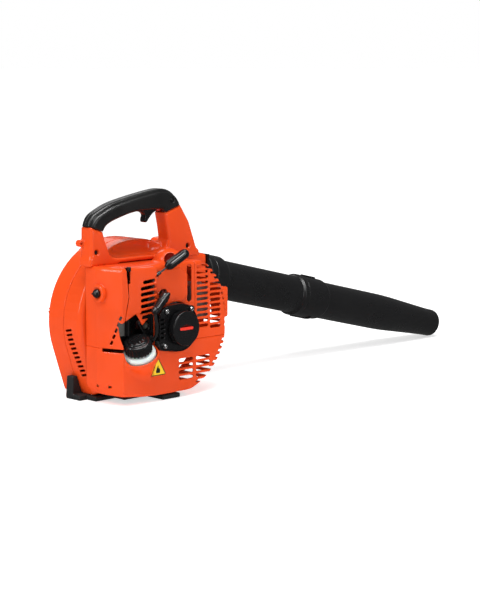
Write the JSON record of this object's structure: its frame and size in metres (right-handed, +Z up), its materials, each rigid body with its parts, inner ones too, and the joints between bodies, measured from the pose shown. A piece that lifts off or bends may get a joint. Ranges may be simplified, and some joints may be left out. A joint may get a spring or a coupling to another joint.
{
  "type": "leaf blower",
  "caption": "Hand-held petrol leaf blower: orange fan and engine housing with a black top grip, recoil starter, side fuel cap and a long black pipe with a tapered nozzle.",
  "frame": {"origin": "on the ground, under the middle of the whole blower's box", "axes": "+X along the level of the pipe towards the nozzle, +Y towards the air intake side, away from the engine, +Z up"},
  "size_m": [0.9907, 0.2145, 0.3575],
  "materials": {
    "orange_plastic": "glossy injection-moulded orange-red plastic",
    "grip_black": "fine-grained soft black grip",
    "black_plastic": "glossy moulded black plastic",
    "pipe_black": "semi-gloss blow-moulded black pipe plastic",
    "foot_rubber": "black rubber",
    "red_plastic": "red switch plastic",
    "tank_white": "milky translucent fuel tank plastic",
    "bulb_clear": "soft smoke-grey primer bulb",
    "cast_alloy": "sand-cast and machined aluminium alloy",
    "steel": "plain ground steel",
    "screw_steel": "zinc-plated fastener steel",
    "muffler_steel": "heat-stained pressed steel",
    "foam": "open-cell filter foam",
    "gasket": "graphite gasket sheet",
    "label_yellow": "yellow warning label with a dark border",
    "wire_black": "black sheathing",
    "hose_tint": "tinted fuel hose",
    "rope_black": "braided starter rope"
  },
  "bodies": {
    "root": {"fan_case_inner": "orange_plastic", "fan_case_outer": "orange_plastic", "intake_grille": "black_plastic", "outlet_collar": "black_plastic", "engine_cover": "orange_plastic", "muffler_guard": "orange_plastic", "lower_cover": "orange_plastic", "hazard_label": "label_yellow", "cover_stud": "steel", "air_cleaner_base": "pipe_black", "air_filter": "foam", "grip_right": "grip_black", "grip_left": "grip_black", "trigger_pin": "steel", "throttle_cable": "wire_black", "carburettor": "cast_alloy", "insulator_block": "pipe_black", "engine_cylinder": "cast_alloy", "piston": "cast_alloy", "piston_pin": "steel", "connecting_rod": "steel", "crankcase": "cast_alloy", "crank_bearings": "steel", "ignition_coil": "black_plastic", "ignition_lead": "wire_black", "plug_boot": "black_plastic", "spark_plug": "screw_steel", "muffler": "muffler_steel", "muffler_gasket": "gasket", "fuel_tank": "tank_white", "fuel_line": "hose_tint", "fuel_filter": "steel", "starter_housing": "black_plastic", "starter_cap": "black_plastic", "recoil_spring": "steel", "reel_screw": "screw_steel", "starter_rope": "rope_black", "rope_guide": "black_plastic", "base_plate": "pipe_black", "rear_foot": "foot_rubber", "front_foot": "foot_rubber", "case_screws": "screw_steel", "housing_screws": "screw_steel"},
    "rotor": {"crankshaft": "steel", "impeller": "pipe_black", "flywheel": "cast_alloy", "flywheel_nut": "screw_steel", "starter_cup": "steel"},
    "trigger": {"throttle_trigger": "black_plastic"},
    "valve": {"throttle_valve": "steel"},
    "switch": {"stop_switch": "red_plastic"},
    "choke": {"choke_lever": "black_plastic"},
    "bulb": {"primer_bulb": "bulb_clear"},
    "cap": {"fuel_cap": "black_plastic"},
    "cleaner_cover": {"air_cleaner_cover": "orange_plastic"},
    "knob": {"cover_knob": "black_plastic"},
    "handle": {"pull_handle": "black_plastic"},
    "reel": {"starter_reel": "pipe_black"},
    "pipe": {"straight_pipe": "pipe_black"},
    "nozzle": {"nozzle": "pipe_black"}
  },
  "joints": [
    {"name": "crank_spin", "type": "hinge", "parent": "root", "child": "rotor", "pos_m": [-0.3475, 0.0105, 0.125], "axis": [0, 1, 0], "continuous": true},
    {"name": "throttle_pull", "type": "hinge", "parent": "root", "child": "trigger", "pos_m": [-0.3275, -0.0045, 0.333], "axis": [0, 1, 0], "range_deg": [0, 18], "stiffness_Nm_per_rad": 0.35, "springref_deg": -20.05},
    {"name": "throttle_open", "type": "hinge", "parent": "root", "child": "valve", "pos_m": [-0.4195, -0.0315, 0.169], "axis": [0, 1, 0], "range_deg": [0, 75]},
    {"name": "stop_switch_slide", "type": "slide", "parent": "root", "child": "switch", "axis": [1, 0, 0], "range_m": [0, 0.004]},
    {"name": "choke_turn", "type": "hinge", "parent": "root", "child": "choke", "pos_m": [-0.4485, -0.0515, 0.214], "axis": [1, 0, 0], "range_deg": [0, 24]},
    {"name": "primer_press", "type": "slide", "parent": "root", "child": "bulb", "axis": [0, 1, 0], "range_m": [0, 0.005], "stiffness_N_per_m": 400},
    {"name": "fuel_cap_turn", "type": "hinge", "parent": "root", "child": "cap", "pos_m": [-0.4335, -0.0795, 0.101], "axis": [-0.4006, -0.2588, 0.879], "range_deg": [0, 540]},
    {"name": "cleaner_cover_pull", "type": "slide", "parent": "root", "child": "cleaner_cover", "axis": [-1, 0, 0], "range_m": [0, 0.06]},
    {"name": "cover_knob_turn", "type": "hinge", "parent": "cleaner_cover", "child": "knob", "pos_m": [-0.4835, -0.0355, 0.191], "axis": [1, 0, 0], "continuous": true},
    {"name": "starter_pull", "type": "slide", "parent": "root", "child": "handle", "axis": [0.8441, -0.1641, 0.5105], "range_m": [0, 0.7], "stiffness_N_per_m": 3, "springref_m": -0.5},
    {"name": "starter_reel_turn", "type": "hinge", "parent": "root", "child": "reel", "pos_m": [-0.3475, -0.0845, 0.125], "axis": [0, 1, 0], "range_deg": [0, 1793]},
    {"name": "pipe_twist", "type": "hinge", "parent": "root", "child": "pipe", "pos_m": [-0.1665, 0.0455, 0.1855], "axis": [0.9724, 0, -0.2334], "range_deg": [0, 30]},
    {"name": "nozzle_twist", "type": "hinge", "parent": "pipe", "child": "nozzle", "pos_m": [0.07854, 0.0455, 0.12667], "axis": [0.9724, 0, -0.2334], "range_deg": [0, 30]}
  ],
  "couplings": [
    {"joint": "throttle_open", "follows": "throttle_pull", "ratio": 4.1},
    {"joint": "starter_reel_turn", "follows": "starter_pull", "rad_per_m": 44.444}
  ]
}
